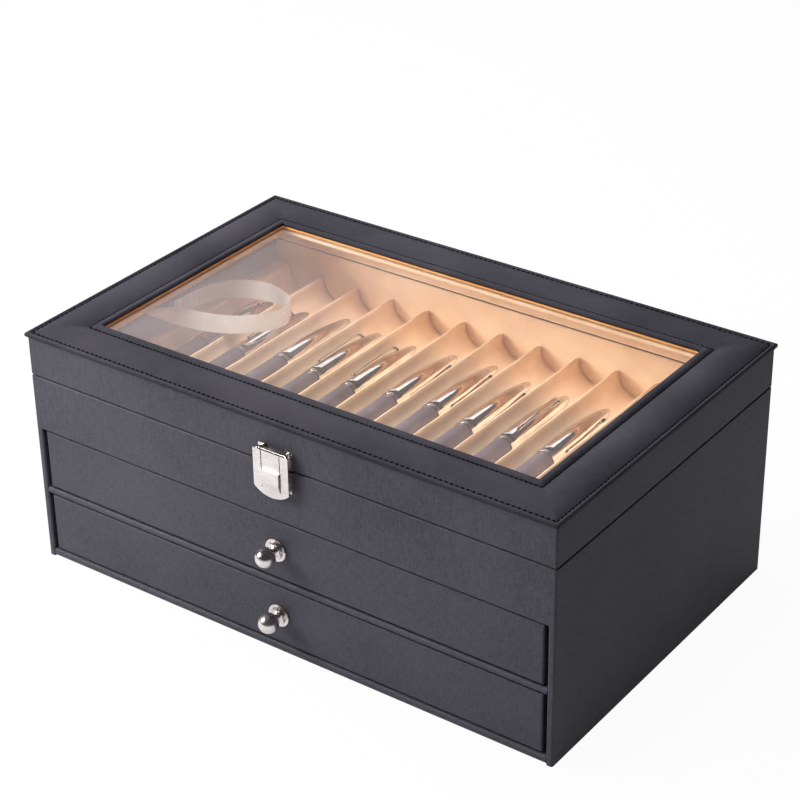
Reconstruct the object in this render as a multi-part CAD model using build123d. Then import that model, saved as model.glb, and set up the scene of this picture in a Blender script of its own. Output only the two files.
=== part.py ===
from build123d import *
import math
import os

# Pen collector chest, in millimetres. X runs across the front, Y from front to back and Z up.
# The origin is the centre of the case's underside, and the drawers open towards -Y.

# ---------------------------------------------------------------- driving sizes: case
case_width = 340.0
case_depth = 216.0
case_height = 117.0           # underside to the seam; the two drawers share what the boards leave
wall = 4.0                    # wrapped board of the case and the lid walls
bottom_thickness = 5.0
middle_shelf_thickness = 4.0
fascia_height = 33.5          # fixed front board above the drawers
tray_shelf_thickness = 2.5    # board that the top tray lies on
wrap_round = 1.2              # rounding of a wrapped board's outer edge
nose_share = 0.45             # rounding of a lying board's front edges, as a share of its thickness
lining_thickness = 1.0        # velvet-covered card

# ---------------------------------------------------------------- driving sizes: lid
seam_gap = 0.8                # lid to case, when shut
lid_wall_height = 23.2
frame_board_thickness = 3.5
frame_border = 28.5           # case edge to the clear window, alike on all four sides
trim_thickness = 1.0
trim_height = 1.8             # trim standing above the frame board
trim_flange = 6.0
trim_flange_thickness = 0.6
glass_thickness = 2.0
glass_edge_gap = 0.5
retainer_thickness = 1.0
retainer_lap = 4.5            # how far the retainer reaches under the pane's edge
lid_lining_drop = 0.5         # lining stops this far above the lid's lower edge

cover_overhang = 1.0
cover_edge_height = 2.3
cover_crown = 1.6             # rise of the padding between its two stitch lines
cover_lip_rise = 0.7          # rolled lip at the window
outer_stitch_inset = 3.0
inner_stitch_inset = 4.2

# ---------------------------------------------------------------- driving sizes: slots and trays
slot_pitch = 26.0
least_side_land = 2.0         # beside the outermost slots of a drawer
slot_depth = 15.5
crest_width = 1.2             # top of the ridge between two slots
crest_peak = 0.4              # middle of the crest above its edges
slot_pad = 1.0                # padding under the middle of a slot
top_land_rise = 1.5           # side lands of the top tray above its crests
tray_end_gap = 0.3

# ---------------------------------------------------------------- driving sizes: drawers
drawer_side_gap = 2.5
drawer_run_gap = 0.3          # under the drawer's bottom, and behind its back
front_lift = 0.8              # front board's lower edge above the drawer's bottom
front_top_gap = 0.7
front_recess = 0.4            # drawer front behind the case front
front_thickness = 5.0
drawer_side_thickness = 3.0
drawer_bottom_thickness = 2.5
drawer_side_drop = 8.45       # sides' upper edge below the top of the opening

# ---------------------------------------------------------------- driving sizes: knobs
knob_offset = -1.5            # knobs left of the middle
rosette_radius = 6.6
rosette_rim = 1.0
rosette_boss_radius = 4.6
rosette_height = 2.2
neck_radius = 2.2
ball_radius = 5.7
ball_centre = 9.3             # in front of the drawer's face
knob_screw_radius = 1.5
knob_screw_head_radius = 3.0
knob_screw_head_height = 1.2
knob_screw_depth = 6.0        # thread inside the knob
bore_gap = 0.05               # radial, round a screw or a pin

# ---------------------------------------------------------------- driving sizes: latch
latch_offset = 1.75           # latch right of the middle
plate_thickness = 0.8
lid_plate_width = 22.0
lid_plate_height = 10.7
lid_plate_lift = 0.2          # lower edge of the lid plate above the lid's lower edge
catch_plate_width = 20.0
catch_plate_height = 12.0
catch_plate_drop = 0.9        # upper edge of the catch plate below the seam
catch_width = 7.0
catch_height = 4.0
catch_drop = 5.5              # middle of the catch below the seam
hasp_width = 22.6
hasp_top = 0.7                # above the pin
hasp_bottom_side = 21.6       # pin to the start of the rounded end
hasp_bottom_middle = 26.0     # pin to the lowest point
hasp_thickness = 0.8
pin_radius = 0.6
pin_from_plate = 2.1          # pin centre in front of the lid plate
pin_below_plate_top = 1.9
lug_radius = 1.2
lug_thickness = 0.8
ear_offset = 8.2              # middle of the lid plate's ears from the latch's middle
lug_side_gap = 0.25
hasp_plate_gap = 0.3          # hasp's back to the front of the ears
slit_width = 0.6
slit_offset = 6.0
slit_end = 21.2               # pin to the lower end of a slit
tongue_bulge = 1.3
tongue_step = 10.0            # pin to the upper end of the bulge
tongue_ramp = 4.0
latch_screw_radius = 0.9
latch_screw_length = 3.4
latch_screw_head_radius = 1.6
latch_screw_head_height = 0.5
latch_screw_spacing = 13.0

# ---------------------------------------------------------------- driving sizes: hinges
hinge_offset = 105.0          # middle of each hinge from the middle of the chest
leaf_width = 30.0
leaf_height = 15.0
leaf_thickness = 1.0
knuckle_radius = 2.2
knuckle_gap = 0.15            # between neighbouring knuckles
knuckle_wall_gap = 0.35       # knuckle to the case's back
middle_knuckle = 12.0
hinge_pin_radius = 1.0
hinge_screw_radius = 1.0
hinge_screw_length = 3.6      # under the head
hinge_screw_head_radius = 2.0
hinge_screw_head_height = 0.5
hinge_screw_spacing = 20.0
hinge_screw_inset = 4.6       # from the leaf's outer edge

# ---------------------------------------------------------------- driving sizes: pens
pen_radius = 6.5              # cap at its mouth
pen_ring_proud = 0.2
pen_ring_length = 2.2
pen_cap_length = 65.0
pen_cap_straight = 26.0       # stretch of the cap before it tapers
pen_cap_flat = 2.2            # radius of the small flat at the tip
pen_barrel_length = 72.0
pen_barrel_radius = 6.1
pen_tail_radius = 4.6
pen_tail_length = 9.0         # tapered end of the barrel
pen_mouth_y = 7.5             # usual place of the cap's mouth
rest_gap = 0.3                # pen to the bottom of its slot
clip_width = 3.0
clip_thickness = 0.7
clip_stand_off = 1.2
clip_root = 12.0              # from the cap's tip to the end of the clip
clip_tip = 10.0               # from the cap's mouth to the end of the clip
clip_root_length = 4.0
clip_pad_length = 3.0
# How far each pen lies behind its usual place, and how far its clip is turned to the right
pen_shifts = [-4.0, -2.5, 4.0, 0.0, -1.5, 2.5, 5.0, -0.5, -1.5, -1.0, 2.0, -2.0]
clip_turns = [0, -20, -100, -50, -50, 80, 75, 85, 15, 75, 20, -40]

# ---------------------------------------------------------------- driving sizes: ribbon
ribbon_width = 11.0
ribbon_thickness = 0.4
ribbon_lift = 0.4             # lower edge above the tray's side land
ribbon_bends = [22.0, 14.0, 16.0, 14.0]
# Route in plan, as distances from the lined left wall and places along it
ribbon_route = [(0.0, -4.0), (43.0, 8.0), (62.0, 38.0), (41.0, 59.0), (4.0, 52.0), (0.0, 10.0)]

# ---------------------------------------------------------------- levels and faces
half_width = case_width / 2
half_depth = case_depth / 2
inner_x = half_width - wall
inner_y = half_depth - wall
seam_z = case_height
fascia_z = seam_z - fascia_height
drawer_opening = (fascia_z - bottom_thickness - middle_shelf_thickness) / 2
lower_opening_z = bottom_thickness
shelf_z = lower_opening_z + drawer_opening
upper_opening_z = shelf_z + middle_shelf_thickness
tray_z = fascia_z + tray_shelf_thickness
lid_z = seam_z + seam_gap
lid_top_z = lid_z + lid_wall_height
frame_board_z = lid_top_z - frame_board_thickness
tray_height = slot_pad + slot_depth
drawer_half_width = inner_x - drawer_side_gap
drawer_inner_half = drawer_half_width - drawer_side_thickness
slot_count = int(2 * (drawer_inner_half - tray_end_gap - least_side_land) // slot_pitch)
front_y = -half_depth
window_x = half_width - frame_border
window_y = half_depth - frame_border

os.makedirs("parts", exist_ok=True)


# ---------------------------------------------------------------- helpers
def block(x_low, x_high, y_low, y_high, z_low, z_high):
    """A box between two corners."""
    middle = ((x_low + x_high) / 2, (y_low + y_high) / 2, (z_low + z_high) / 2)
    return Pos(*middle) * Box(x_high - x_low, y_high - y_low, z_high - z_low)


def ring_block(outer_x, outer_y, inner_half_x, inner_half_y, z_low, z_high):
    """A rectangular ring, given by its outer and inner half sizes."""
    outside = block(-outer_x, outer_x, -outer_y, outer_y, z_low, z_high)
    inside = block(-inner_half_x, inner_half_x, -inner_half_y, inner_half_y, z_low, z_high)
    return outside - inside


def rod_x(radius, x_low, x_high, y, z):
    """A round rod along X."""
    return Pos((x_low + x_high) / 2, y, z) * Rot(0, 90, 0) * Cylinder(radius, x_high - x_low)


def rod_y(radius, x, y_low, y_high, z):
    """A round rod along Y."""
    return Pos(x, (y_low + y_high) / 2, z) * Rot(90, 0, 0) * Cylinder(radius, y_high - y_low)


def turned(points):
    """A solid turned about the Y axis from (radius, y) points joined by straight lines."""
    outline = Plane.XY * Polyline(*points, close=True)
    return revolve(make_face(outline), Axis.Y)


def round_edges(board, axis, radius, keep):
    """Round the board's edges that run along an axis and pass a test on their middles."""
    edges = [edge for edge in board.edges().filter_by(axis) if keep(edge.center())]
    return fillet(edges, radius)


def save(node, pieces):
    """Write one node, made of one piece or of several alike."""
    pieces = pieces if isinstance(pieces, list) else [pieces]
    solids = [solid for piece in pieces for solid in piece.solids()]
    shape = solids[0] if len(solids) == 1 else Compound(children=solids)
    export_step(shape, f"parts/{node}.step")


# ---------------------------------------------------------------- case
def screw_y(x, face_y, z, direction, radius, length, head_radius, head_height):
    """A flat-headed screw whose head lies on face_y; its shank points along Y in direction."""
    tip = face_y + direction * length
    crown = face_y - direction * head_height
    shank = rod_y(radius, x, min(face_y, tip), max(face_y, tip), z)
    head = rod_y(head_radius, x, min(face_y, crown), max(face_y, crown), z)
    return shank + head


def screw_hole(x, z, radius, y_low, y_high):
    """The hole round a screw's shank."""
    return rod_y(radius + bore_gap, x, y_low, y_high, z)


hinge_xs = [-hinge_offset, hinge_offset]
hinge_screw_xs = [x + side * hinge_screw_spacing / 2 for x in hinge_xs for side in (-1, 1)]
hinge_axis_y = half_depth + knuckle_wall_gap + knuckle_radius
hinge_case_screw_z = seam_z - leaf_height + hinge_screw_inset
hinge_lid_screw_z = seam_z + leaf_height - hinge_screw_inset
latch_screw_xs = [latch_offset - latch_screw_spacing / 2, latch_offset + latch_screw_spacing / 2]
lid_plate_z = lid_z + lid_plate_lift
latch_pin_z = lid_plate_z + lid_plate_height - pin_below_plate_top
latch_pin_y = front_y - plate_thickness - pin_from_plate
lid_screw_z = lid_plate_z + latch_screw_head_radius + lug_side_gap
catch_top_z = seam_z - catch_plate_drop
catch_screw_z = catch_top_z - catch_plate_height + latch_screw_head_radius + lug_side_gap


def make_case():
    bottom = block(-inner_x, inner_x, front_y, inner_y, 0, bottom_thickness)
    bottom = round_edges(bottom, Axis.X, nose_share * bottom_thickness, lambda at: at.Y < 0)
    save("bottom_board", bottom)

    # The wall's inner front edge is rounded beside the drawers and flush with the fascia above them
    side = block(inner_x, half_width, front_y, half_depth, 0, fascia_z)
    side = round_edges(side, Axis.Z, wrap_round, lambda at: at.X < inner_x + wall / 2 and at.Y < 0)
    side += block(inner_x, half_width, front_y, half_depth, fascia_z, seam_z)
    side = round_edges(side, Axis.Z, wrap_round, lambda at: at.X > inner_x + wall / 2)
    top_edge = seam_z - wall
    side = round_edges(side, Axis.Y, wrap_round / 2, lambda at: at.X > inner_x + wall / 2 and at.Z > top_edge)
    save("right_wall", side)
    save("left_wall", mirror(side, Plane.YZ))

    back = block(-inner_x, inner_x, inner_y, half_depth, 0, seam_z)
    for x in hinge_screw_xs:
        depth = hinge_screw_length - leaf_thickness
        hole_y = half_depth - depth - bore_gap
        back -= screw_hole(x, hinge_case_screw_z, hinge_screw_radius, hole_y, half_depth)
    save("back_wall", back)

    fascia = block(-inner_x, inner_x, front_y, -inner_y, fascia_z, seam_z)
    front_edge = (front_y - inner_y) / 2
    fascia = round_edges(fascia, Axis.X, wrap_round, lambda at: at.Y < front_edge)
    for x in latch_screw_xs:
        depth = latch_screw_length - plate_thickness
        fascia -= screw_hole(x, catch_screw_z, latch_screw_radius, front_y, front_y + depth + bore_gap)
    save("front_fascia", fascia)

    shelf = block(-inner_x, inner_x, front_y, inner_y, shelf_z, upper_opening_z)
    shelf = round_edges(shelf, Axis.X, nose_share * middle_shelf_thickness, lambda at: at.Y < 0)
    save("middle_shelf", shelf)
    save("tray_shelf", block(-inner_x, inner_x, -inner_y, inner_y, fascia_z, tray_z))
    lining = block(-inner_x, inner_x, inner_y - lining_thickness, inner_y, tray_z, seam_z)
    save("case_back_lining", lining)


# ---------------------------------------------------------------- scalloped trays
def slot_centres():
    first = -slot_pitch * (slot_count - 1) / 2
    return [first + slot_pitch * index for index in range(slot_count)]


def ridge_face():
    """Section of the padded ridge between two slots, cut at the middle of each slot."""
    half = slot_pitch / 2
    crest = crest_width / 2
    radius = half - crest
    top = slot_pad + slot_depth
    bend = radius * (1 - math.sqrt(0.5))
    right_low = ThreePointArc((half, slot_pad), (crest + bend, slot_pad + bend), (crest, slot_pad + radius))
    right_side = Line((crest, slot_pad + radius), (crest, top))
    crown = Polyline((crest, top), (0, top + crest_peak), (-crest, top))
    left_side = Line((-crest, top), (-crest, slot_pad + radius))
    left_low = ThreePointArc((-crest, slot_pad + radius), (-crest - bend, slot_pad + bend), (-half, slot_pad))
    foot = Polyline((-half, slot_pad), (-half, 0), (half, 0), (half, slot_pad))
    return make_face(right_low + right_side + crown + left_side + left_low + foot)


def land_face(tray_half_width, land_rise):
    """Section of the tray's right end: half a ridge that widens into a flat side land."""
    half = slot_pitch / 2
    crest = crest_width / 2
    radius = half - crest
    top = slot_pad + slot_depth
    bend = radius * (1 - math.sqrt(0.5))
    end = tray_half_width - slot_pitch * slot_count / 2
    left_low = ThreePointArc((-crest, slot_pad + radius), (-crest - bend, slot_pad + bend), (-half, slot_pad))
    foot = Polyline((-half, slot_pad), (-half, 0), (end, 0), (end, top + land_rise), (crest, top + land_rise),
                    (-crest, top), (-crest, slot_pad + radius))
    return make_face(left_low + foot)


def make_tray(node, tray_half_width, land_rise, y_low, y_high, z_low):
    """A tray of padded ridges that meet along the bottoms of the slots."""
    length = y_high - y_low
    ridge = extrude(Plane.XZ * ridge_face(), -length)
    land = extrude(Plane.XZ * land_face(tray_half_width, land_rise), -length)
    half_tray = slot_pitch * slot_count / 2
    ridges = [Pos(x + slot_pitch / 2, y_low, z_low) * ridge for x in slot_centres()[:-1]]
    right_land = Pos(half_tray, y_low, z_low) * land
    save(node, [mirror(right_land, Plane.YZ)] + ridges + [right_land])


# ---------------------------------------------------------------- pens
def make_pen_pieces():
    """One pen along Y with its cap's mouth at y = 0 and its tip towards +Y."""
    ring_end = pen_ring_length / 2
    ring = rod_y(pen_radius + pen_ring_proud, 0, -ring_end, ring_end, 0)

    cap = turned([(0, ring_end), (pen_radius, ring_end), (pen_radius, pen_cap_straight),
                  (pen_cap_flat, pen_cap_length), (0, pen_cap_length)])

    tail = -pen_barrel_length
    barrel = turned([(0, -ring_end), (0, tail), (pen_tail_radius, tail),
                     (pen_barrel_radius, tail + pen_tail_length), (pen_barrel_radius, -ring_end)])

    root_y = pen_cap_length - clip_root
    root_radius = pen_radius / 2
    tip_y = ring_end + clip_tip
    low = pen_radius + clip_stand_off
    high = low + clip_thickness
    side = Polyline((tip_y, pen_radius - clip_thickness), (tip_y, low), (tip_y + clip_pad_length, high),
                    (root_y - clip_root_length / 2, high), (root_y, high - clip_thickness),
                    (root_y, root_radius), (root_y - clip_root_length, root_radius),
                    (root_y - clip_root_length, low), (tip_y + clip_pad_length, low),
                    (tip_y + clip_pad_length / 2, pen_radius - clip_thickness), close=True)
    clip = extrude(Plane.YZ * make_face(side), clip_width / 2, both=True) - cap
    return barrel, cap, ring, clip


def make_pens():
    barrel, cap, ring, clip = make_pen_pieces()
    axis_z = tray_z + slot_pad + pen_radius + pen_ring_proud + rest_gap
    places = [Pos(x, pen_mouth_y + shift, axis_z) for x, shift in zip(slot_centres(), pen_shifts)]
    save("pen_barrels", [place * barrel for place in places])
    save("pen_caps", [place * cap for place in places])
    save("pen_cap_rings", [place * ring for place in places])
    save("pen_clips", [place * Rot(0, turn, 0) * clip for place, turn in zip(places, clip_turns)])


# ---------------------------------------------------------------- ribbon
def make_ribbon():
    """The lid's ribbon stay, standing on edge in a loop over the left end of the tray."""
    corners = [(-inner_x + lining_thickness + reach, y) for reach, y in ribbon_route]
    line = FilletPolyline(*corners, radius=ribbon_bends)
    z_low = tray_z + tray_height + top_land_rise + ribbon_lift
    band = extrude(trace(line, ribbon_thickness), ribbon_width)
    print("ribbon length", round(sum(edge.length for edge in line.edges()), 1))
    save("ribbon_stay", Pos(0, 0, z_low) * band)


# ---------------------------------------------------------------- lid
def make_lid():
    front = block(-half_width, half_width, front_y, -inner_y, lid_z, lid_top_z)
    corner = half_width - wall / 2
    front_half = -inner_y - wall / 2
    front = round_edges(front, Axis.Z, wrap_round, lambda at: abs(at.X) > corner and at.Y < front_half)
    front = round_edges(front, Axis.X, wrap_round / 2, lambda at: at.Y < front_half and at.Z < lid_z + wall)
    for x in latch_screw_xs:
        depth = latch_screw_length - plate_thickness
        front -= screw_hole(x, lid_screw_z, latch_screw_radius, front_y, front_y + depth + bore_gap)
    save("lid_front_wall", front)

    back = block(-half_width, half_width, inner_y, half_depth, lid_z, lid_top_z)
    back = round_edges(back, Axis.Z, wrap_round, lambda at: abs(at.X) > corner and at.Y > inner_y + wall / 2)
    for x in hinge_screw_xs:
        depth = hinge_screw_length - leaf_thickness
        hole_y = half_depth - depth - bore_gap
        back -= screw_hole(x, hinge_lid_screw_z, hinge_screw_radius, hole_y, half_depth)
    save("lid_back_wall", back)

    side = block(inner_x, half_width, -inner_y, inner_y, lid_z, lid_top_z)
    side = round_edges(side, Axis.Y, wrap_round / 2, lambda at: at.X > corner and at.Z < lid_z + wall)
    save("lid_right_wall", side)
    save("lid_left_wall", mirror(side, Plane.YZ))

    pane_x = window_x + trim_flange
    pane_y = window_y + trim_flange
    save("lid_frame_board", ring_block(inner_x, inner_y, pane_x, pane_y, frame_board_z, lid_top_z))

    trim_x = window_x + trim_thickness
    trim_y = window_y + trim_thickness
    glass_top = lid_top_z - trim_flange_thickness
    flange = ring_block(pane_x, pane_y, window_x, window_y, glass_top, lid_top_z)
    upstand = ring_block(trim_x, trim_y, window_x, window_y, lid_top_z, lid_top_z + trim_height)
    save("window_trim", flange + upstand)

    glass_x = pane_x - glass_edge_gap
    glass_y = pane_y - glass_edge_gap
    glass_z = glass_top - glass_thickness
    save("window_glass", block(-glass_x, glass_x, -glass_y, glass_y, glass_z, glass_top))

    retainer_inner_x = glass_x - retainer_lap
    retainer_inner_y = glass_y - retainer_lap
    retainer = ring_block(inner_x, inner_y, retainer_inner_x, retainer_inner_y,
                          frame_board_z - retainer_thickness, frame_board_z)
    retainer += ring_block(glass_x, glass_y, retainer_inner_x, retainer_inner_y, frame_board_z, glass_z)
    save("glass_retainer", retainer)

    lining_x = inner_x - lining_thickness
    lining_y = inner_y - lining_thickness
    lining_top_z = frame_board_z - retainer_thickness
    lining = ring_block(inner_x, inner_y, lining_x, lining_y, lid_z + lid_lining_drop, lining_top_z)
    save("lid_lining", lining)


def make_cover():
    """Padded leather frame: bead, stitch valley, crowned padding, stitch valley and rolled lip."""
    outer_x = half_width + cover_overhang
    outer_y = half_depth + cover_overhang
    inner = window_x + trim_thickness
    edge_z = lid_top_z + cover_edge_height
    round_off = cover_edge_height / 2
    outer_valley = outer_x - outer_stitch_inset
    inner_valley = inner + inner_stitch_inset
    valley_z = edge_z - cover_lip_rise / 3
    crown = ((outer_valley + inner_valley) / 2, valley_z + cover_crown)
    bead = ((outer_valley + outer_x) / 2, edge_z)
    lip = ((inner + inner_valley) / 2, edge_z + cover_lip_rise)

    edge_break = (outer_x - round_off / 2, edge_z - round_off / 6)

    outline = Polyline((outer_valley, valley_z), bead, edge_break, (outer_x, edge_z - round_off),
                       (outer_x, lid_top_z), (inner, lid_top_z), (inner, edge_z), lip, (inner_valley, valley_z))
    padding = ThreePointArc((inner_valley, valley_z), crown, (outer_valley, valley_z))
    section = make_face(outline + padding)

    right = extrude(Plane.XZ * section, outer_y, both=True)
    back = Pos(0, outer_y - outer_x, 0) * extrude(Plane.YZ * section, outer_x, both=True)
    mitre = make_face(Polyline((outer_x - outer_y, 0), (outer_x, outer_y), (outer_x, -outer_y), close=True))
    right &= extrude(Pos(0, 0, lid_top_z) * mitre, cover_edge_height + cover_crown)
    back -= extrude(Pos(0, 0, lid_top_z) * mitre, cover_edge_height + cover_crown)
    back -= extrude(Pos(0, 0, lid_top_z) * mirror(mitre, Plane.YZ), cover_edge_height + cover_crown)
    cover = right + mirror(right, Plane.YZ) + back + mirror(back, Plane.XZ)
    save("lid_padded_cover", cover)


# ---------------------------------------------------------------- hinges
def leaf_and_knuckles(x, side, knuckle_spans):
    """One leaf of a hinge. side is +1 for the lid's leaf and -1 for the case's."""
    swing = knuckle_radius + knuckle_wall_gap
    low, high = sorted((seam_z + side * swing, seam_z + side * leaf_height))
    plate = block(x - leaf_width / 2, x + leaf_width / 2, half_depth, half_depth + leaf_thickness, low, high)
    leaf = round_edges(plate, Axis.Y, hinge_screw_head_radius, lambda at: abs(at.Z - seam_z) > leaf_height / 2)
    for span_low, span_high in knuckle_spans:
        reach_low, reach_high = sorted((seam_z, seam_z + side * swing))
        reach_y = half_depth + knuckle_wall_gap
        reach = block(x + span_low, x + span_high, reach_y, half_depth + leaf_thickness + knuckle_wall_gap,
                      reach_low, reach_high)
        join_low, join_high = sorted((seam_z + side * knuckle_radius, seam_z + side * (swing + leaf_thickness)))
        join = block(x + span_low, x + span_high, half_depth, half_depth + leaf_thickness + knuckle_wall_gap,
                     join_low, join_high)
        leaf += reach + join + rod_x(knuckle_radius, x + span_low, x + span_high, hinge_axis_y, seam_z)
    leaf -= rod_x(hinge_pin_radius + bore_gap, x - leaf_width, x + leaf_width, hinge_axis_y, seam_z)
    screw_z = hinge_lid_screw_z if side > 0 else hinge_case_screw_z
    for offset in (-hinge_screw_spacing / 2, hinge_screw_spacing / 2):
        leaf -= screw_hole(x + offset, screw_z, hinge_screw_radius, half_depth, half_depth + leaf_thickness)
    return leaf


def make_hinges():
    half_middle = middle_knuckle / 2
    outer_spans = [(-leaf_width / 2, -half_middle - knuckle_gap), (half_middle + knuckle_gap, leaf_width / 2)]
    middle_span = [(-half_middle, half_middle)]
    save("hinge_case_leaves", [leaf_and_knuckles(x, -1, outer_spans) for x in hinge_xs])
    save("hinge_lid_leaves", [leaf_and_knuckles(x, 1, middle_span) for x in hinge_xs])
    save("hinge_pins", [rod_x(hinge_pin_radius, x - leaf_width / 2, x + leaf_width / 2, hinge_axis_y, seam_z)
                        for x in hinge_xs])
    leaf_face = half_depth + leaf_thickness
    sizes = (hinge_screw_radius, hinge_screw_length, hinge_screw_head_radius, hinge_screw_head_height)
    save("hinge_case_screws", [screw_y(x, leaf_face, hinge_case_screw_z, -1, *sizes) for x in hinge_screw_xs])
    save("hinge_lid_screws", [screw_y(x, leaf_face, hinge_lid_screw_z, -1, *sizes) for x in hinge_screw_xs])


# ---------------------------------------------------------------- latch
def lug(x_middle, y_back, y_front):
    """A rounded tab in the YZ plane that carries the pin, joined to a plate at one end."""
    x_low = x_middle - lug_thickness / 2
    x_high = x_middle + lug_thickness / 2
    ear = rod_x(lug_radius, x_low, x_high, latch_pin_y, latch_pin_z)
    ear += block(x_low, x_high, y_front, y_back, latch_pin_z - lug_radius, latch_pin_z + lug_radius)
    return ear


def make_latch():
    plate_front = front_y - plate_thickness
    sizes = (latch_screw_radius, latch_screw_length, latch_screw_head_radius, latch_screw_head_height)

    sideways = Pos(latch_offset, 0, 0)
    plate = block(-lid_plate_width / 2, lid_plate_width / 2, plate_front, front_y, lid_plate_z,
                  lid_plate_z + lid_plate_height)
    notch = ear_offset - 2 * lug_thickness
    plate -= block(-notch, notch, plate_front, front_y, latch_pin_z, lid_plate_z + lid_plate_height)
    for side in (-1, 1):
        plate += lug(side * ear_offset, plate_front, latch_pin_y)
    plate -= rod_x(pin_radius + bore_gap, -lid_plate_width, lid_plate_width, latch_pin_y, latch_pin_z)
    plate = sideways * plate
    for x in latch_screw_xs:
        plate -= screw_hole(x, lid_screw_z, latch_screw_radius, plate_front, front_y)
    save("latch_lid_plate", plate)
    save("latch_lid_screws", [screw_y(x, plate_front, lid_screw_z, 1, *sizes) for x in latch_screw_xs])

    catch = block(-catch_plate_width / 2, catch_plate_width / 2, plate_front, front_y,
                  catch_top_z - catch_plate_height, catch_top_z)
    hasp_back = latch_pin_y - lug_radius - hasp_plate_gap
    catch_z = seam_z - catch_drop
    bump = Polyline((plate_front, catch_z + catch_height / 2), (hasp_back + hasp_plate_gap, catch_z),
                    (plate_front, catch_z - catch_height / 2), close=True)
    catch += extrude(Plane.YZ * make_face(bump), catch_width / 2, both=True)
    catch = sideways * catch
    for x in latch_screw_xs:
        catch -= screw_hole(x, catch_screw_z, latch_screw_radius, plate_front, front_y)
    save("catch_plate", catch)
    save("catch_screws", [screw_y(x, plate_front, catch_screw_z, 1, *sizes) for x in latch_screw_xs])

    hasp_lug_x = ear_offset + lug_thickness + lug_side_gap
    pin_end = hasp_lug_x + lug_thickness / 2
    save("latch_pin", sideways * rod_x(pin_radius, -pin_end, pin_end, latch_pin_y, latch_pin_z))

    side_z = latch_pin_z - hasp_bottom_side
    top_z = latch_pin_z + hasp_top
    half = hasp_width / 2
    outline = Polyline((-half, side_z), (-half, top_z), (half, top_z), (half, side_z))
    outline += ThreePointArc((half, side_z), (0, latch_pin_z - hasp_bottom_middle), (-half, side_z))
    hasp_front = hasp_back - hasp_thickness
    hasp = extrude(Plane.XZ.offset(-hasp_back) * make_face(outline), hasp_thickness)
    strip = slit_offset - slit_width / 2
    slit_z = latch_pin_z - slit_end
    cut = slit_offset + slit_width / 2
    hasp -= block(-cut, cut, hasp_front, hasp_back, slit_z, top_z)
    step_z = latch_pin_z - tongue_step
    bulge_front = hasp_front - tongue_bulge
    bulge_back = hasp_back - tongue_bulge
    ramp_z = slit_z + tongue_ramp
    tongue = Polyline((hasp_back, slit_z), (hasp_front, slit_z), (bulge_front, ramp_z),
                      (bulge_front, step_z), (hasp_front, step_z), (hasp_front, top_z), (hasp_back, top_z),
                      (hasp_back, step_z - hasp_thickness), (bulge_back, step_z - hasp_thickness),
                      (bulge_back, ramp_z), close=True)
    hasp += extrude(Plane.YZ * make_face(tongue), strip, both=True)
    for side in (-1, 1):
        hasp += lug(side * hasp_lug_x, latch_pin_y, hasp_back)
    hasp -= rod_x(pin_radius + bore_gap, -half, half, latch_pin_y, latch_pin_z)
    save("latch_hasp", sideways * hasp)


# ---------------------------------------------------------------- drawers
def make_knob(prefix, face_y, knob_z):
    """Ball knob on a stepped rosette, held by a screw from inside the drawer."""
    place = Pos(knob_offset, face_y, knob_z) * Rot(180, 0, 0)
    rosette = turned([(knob_screw_radius + bore_gap, 0), (rosette_radius, 0), (rosette_radius, rosette_rim),
                      (rosette_boss_radius + rosette_rim / 2, rosette_rim),
                      (rosette_boss_radius, rosette_height), (knob_screw_radius + bore_gap, rosette_height)])
    save(f"{prefix}_rosette", place * rosette)

    ball = Pos(0, ball_centre, 0) * Sphere(ball_radius)
    neck_end = ball_centre - math.sqrt(ball_radius ** 2 - neck_radius ** 2)
    neck = turned([(0, rosette_height), (rosette_boss_radius - rosette_rim, rosette_height),
                   (neck_radius, rosette_height + rosette_rim), (neck_radius, neck_end + rosette_rim),
                   (0, neck_end + rosette_rim)])
    thread = rod_y(knob_screw_radius + bore_gap, 0, 0, knob_screw_depth + bore_gap, 0)
    save(f"{prefix}_knob", place * (ball + neck - thread))

    head_y = face_y + front_thickness
    screw = rod_y(knob_screw_radius, knob_offset, face_y - knob_screw_depth, head_y, knob_z)
    screw += rod_y(knob_screw_head_radius, knob_offset, head_y, head_y + knob_screw_head_height, knob_z)
    save(f"{prefix}_knob_screw", screw)


def make_drawer(prefix, opening_z):
    """A drawer whose opening starts at opening_z."""
    base_z = opening_z + drawer_run_gap
    face_y = front_y + front_recess
    front_back = face_y + front_thickness
    half = drawer_half_width
    inner_half = drawer_inner_half
    back_y = inner_y - drawer_run_gap
    front_low = base_z + front_lift
    front_high = opening_z + drawer_opening - front_top_gap
    knob_z = (front_low + front_high) / 2

    front = block(-half, half, face_y, front_back, front_low, front_high)
    front_edges = front.edges().filter_by(Plane.XZ).group_by(Axis.Y)[0]
    front = fillet(front_edges, wrap_round)
    front -= rod_y(knob_screw_radius + bore_gap, knob_offset, face_y, front_back, knob_z)
    save(f"{prefix}_front", front)

    side_top = opening_z + drawer_opening - drawer_side_drop
    side = block(inner_half, half, front_back, back_y, base_z, side_top)
    save(f"{prefix}_right_side", side)
    save(f"{prefix}_left_side", mirror(side, Plane.YZ))
    back_inner = back_y - drawer_side_thickness
    save(f"{prefix}_back", block(-inner_half, inner_half, back_inner, back_y, base_z, side_top))
    floor_z = base_z + drawer_bottom_thickness
    save(f"{prefix}_bottom", block(-inner_half, inner_half, front_back, back_inner, base_z, floor_z))
    tray_front = front_back + knob_screw_head_height + tray_end_gap
    make_tray(f"{prefix}_tray", inner_half - tray_end_gap, 0, tray_front, back_inner - tray_end_gap, floor_z)
    make_knob(prefix, face_y, knob_z)


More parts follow.
